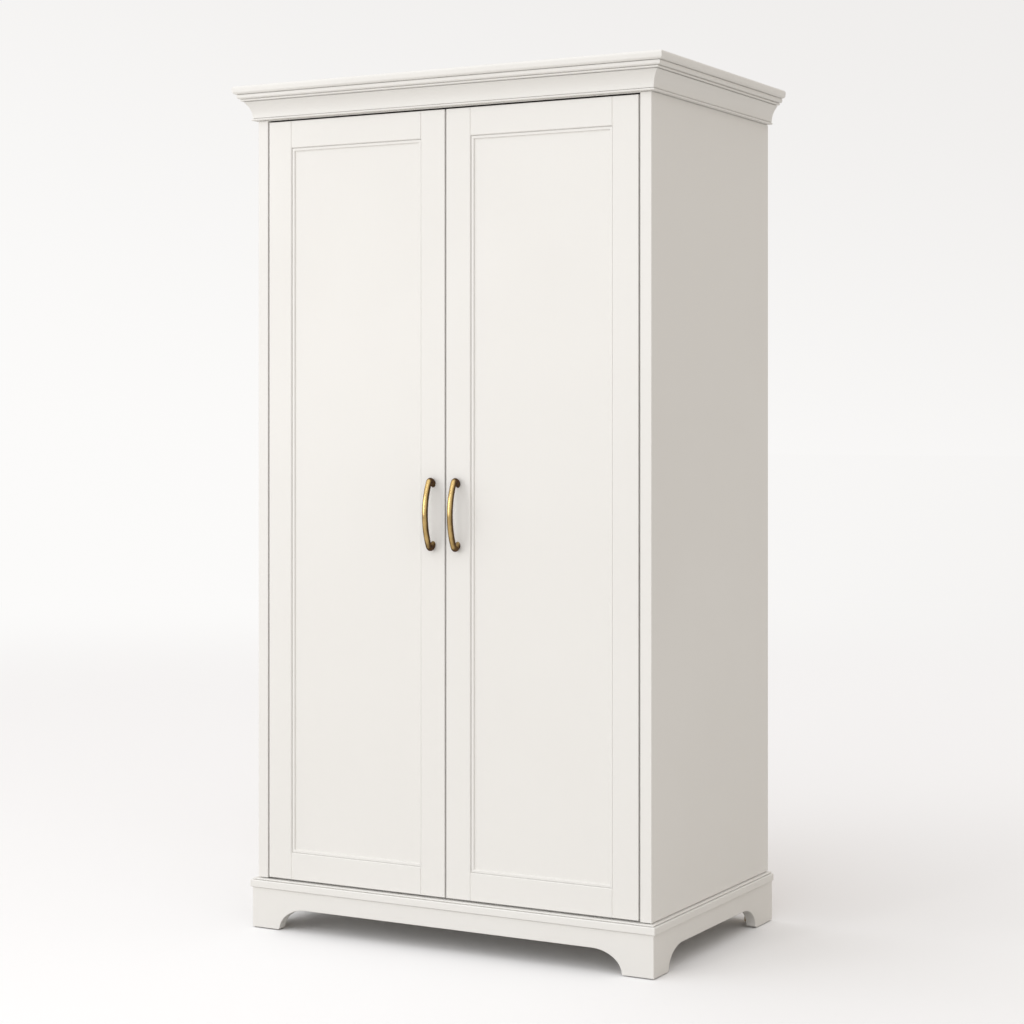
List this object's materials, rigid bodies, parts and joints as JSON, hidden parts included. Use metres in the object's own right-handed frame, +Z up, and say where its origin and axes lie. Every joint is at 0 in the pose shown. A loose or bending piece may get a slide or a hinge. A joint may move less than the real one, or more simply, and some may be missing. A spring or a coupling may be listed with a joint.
{
  "type": "two-door wardrobe",
  "caption": "Free-standing wardrobe: white painted carcass on an arched plinth, moulded cornice, two framed doors on concealed hinges, hat shelf and hanging rail.",
  "frame": {"origin": "on the floor under the middle of the overall box", "axes": "+Z up, +X to the viewer's right facing the doors, +Y to the back; the doors face -Y"},
  "size_m": [1.034, 0.642, 1.835],
  "materials": {
    "paint": "satin off-white paint on smooth board",
    "interior_board": "smooth white foil on board",
    "back_board": "white faced thin fibreboard",
    "raw_wood": "bare sanded softwood",
    "brass": "aged brass, rubbed bright on the high spots",
    "nickel": "nickel plated pressed steel",
    "screw_steel": "zinc plated steel",
    "chrome": "polished chrome plated tube",
    "white_plastic": "moulded white plastic",
    "ferrite": "sintered ferrite magnet",
    "grey_plastic": "moulded grey plastic",
    "clear_rubber": "soft translucent polymer"
  },
  "bodies": {
    "carcass": {"back_batten": "interior_board", "back_left": "back_board", "back_right": "back_board", "back_screws": "screw_steel", "base_moulding_front": "paint", "base_moulding_left": "paint", "base_moulding_right": "paint", "bottom_panel": "interior_board", "carcass_dowels": "raw_wood", "catch_magnets": "ferrite", "corner_blocks": "raw_wood", "cornice_back_rail": "paint", "cornice_cap": "paint", "cornice_front": "paint", "cornice_left": "paint", "cornice_right": "paint", "floor_glides": "grey_plastic", "hanging_rail": "chrome", "hat_shelf": "interior_board", "hinge_arms": "nickel", "hinge_plate_screws": "screw_steel", "hinge_plates": "nickel", "inside_screws": "screw_steel", "magnetic_catches": "white_plastic", "plinth_back": "paint", "plinth_front": "paint", "plinth_left": "paint", "plinth_right": "paint", "rail_sockets": "nickel", "shelf_pegs": "nickel", "side_left": "paint", "side_right": "paint", "top_panel": "interior_board", "wall_fixing_rail": "interior_board"},
    "door_left": {"door_left_hinge_stile": "paint", "door_left_lock_stile": "paint", "door_left_top_rail": "paint", "door_left_bottom_rail": "paint", "door_left_panel": "paint", "door_left_beads": "paint", "door_left_handle": "brass", "door_left_handle_screws": "screw_steel", "door_left_hinge_cups": "nickel", "door_left_fitting_screws": "screw_steel", "door_left_strike_plate": "nickel", "door_left_bumpers": "clear_rubber"},
    "door_right": {"door_right_hinge_stile": "paint", "door_right_lock_stile": "paint", "door_right_top_rail": "paint", "door_right_bottom_rail": "paint", "door_right_panel": "paint", "door_right_beads": "paint", "door_right_handle": "brass", "door_right_handle_screws": "screw_steel", "door_right_hinge_cups": "nickel", "door_right_fitting_screws": "screw_steel", "door_right_strike_plate": "nickel", "door_right_bumpers": "clear_rubber"},
    "hinge_links_left": {"hinge_links_left": "nickel"},
    "hinge_links_right": {"hinge_links_right": "nickel"}
  },
  "joints": [
    {"name": "door_left_hinge", "type": "hinge", "parent": "carcass", "child": "door_left", "pos_m": [-0.446, -0.279, 0.9], "axis": [0, 0, -1], "range_deg": [0, 105]},
    {"name": "door_right_hinge", "type": "hinge", "parent": "carcass", "child": "door_right", "pos_m": [0.446, -0.279, 0.9], "axis": [0, 0, 1], "range_deg": [0, 105]},
    {"name": "hinge_links_left_turn", "type": "hinge", "parent": "carcass", "child": "hinge_links_left", "pos_m": [-0.446, -0.279, 0.9], "axis": [0, 0, -1], "range_deg": [0, 52.5]},
    {"name": "hinge_links_right_turn", "type": "hinge", "parent": "carcass", "child": "hinge_links_right", "pos_m": [0.446, -0.279, 0.9], "axis": [0, 0, 1], "range_deg": [0, 52.5]}
  ],
  "couplings": [
    {"joint": "hinge_links_left_turn", "follows": "door_left_hinge", "ratio": 0.5},
    {"joint": "hinge_links_right_turn", "follows": "door_right_hinge", "ratio": 0.5}
  ]
}
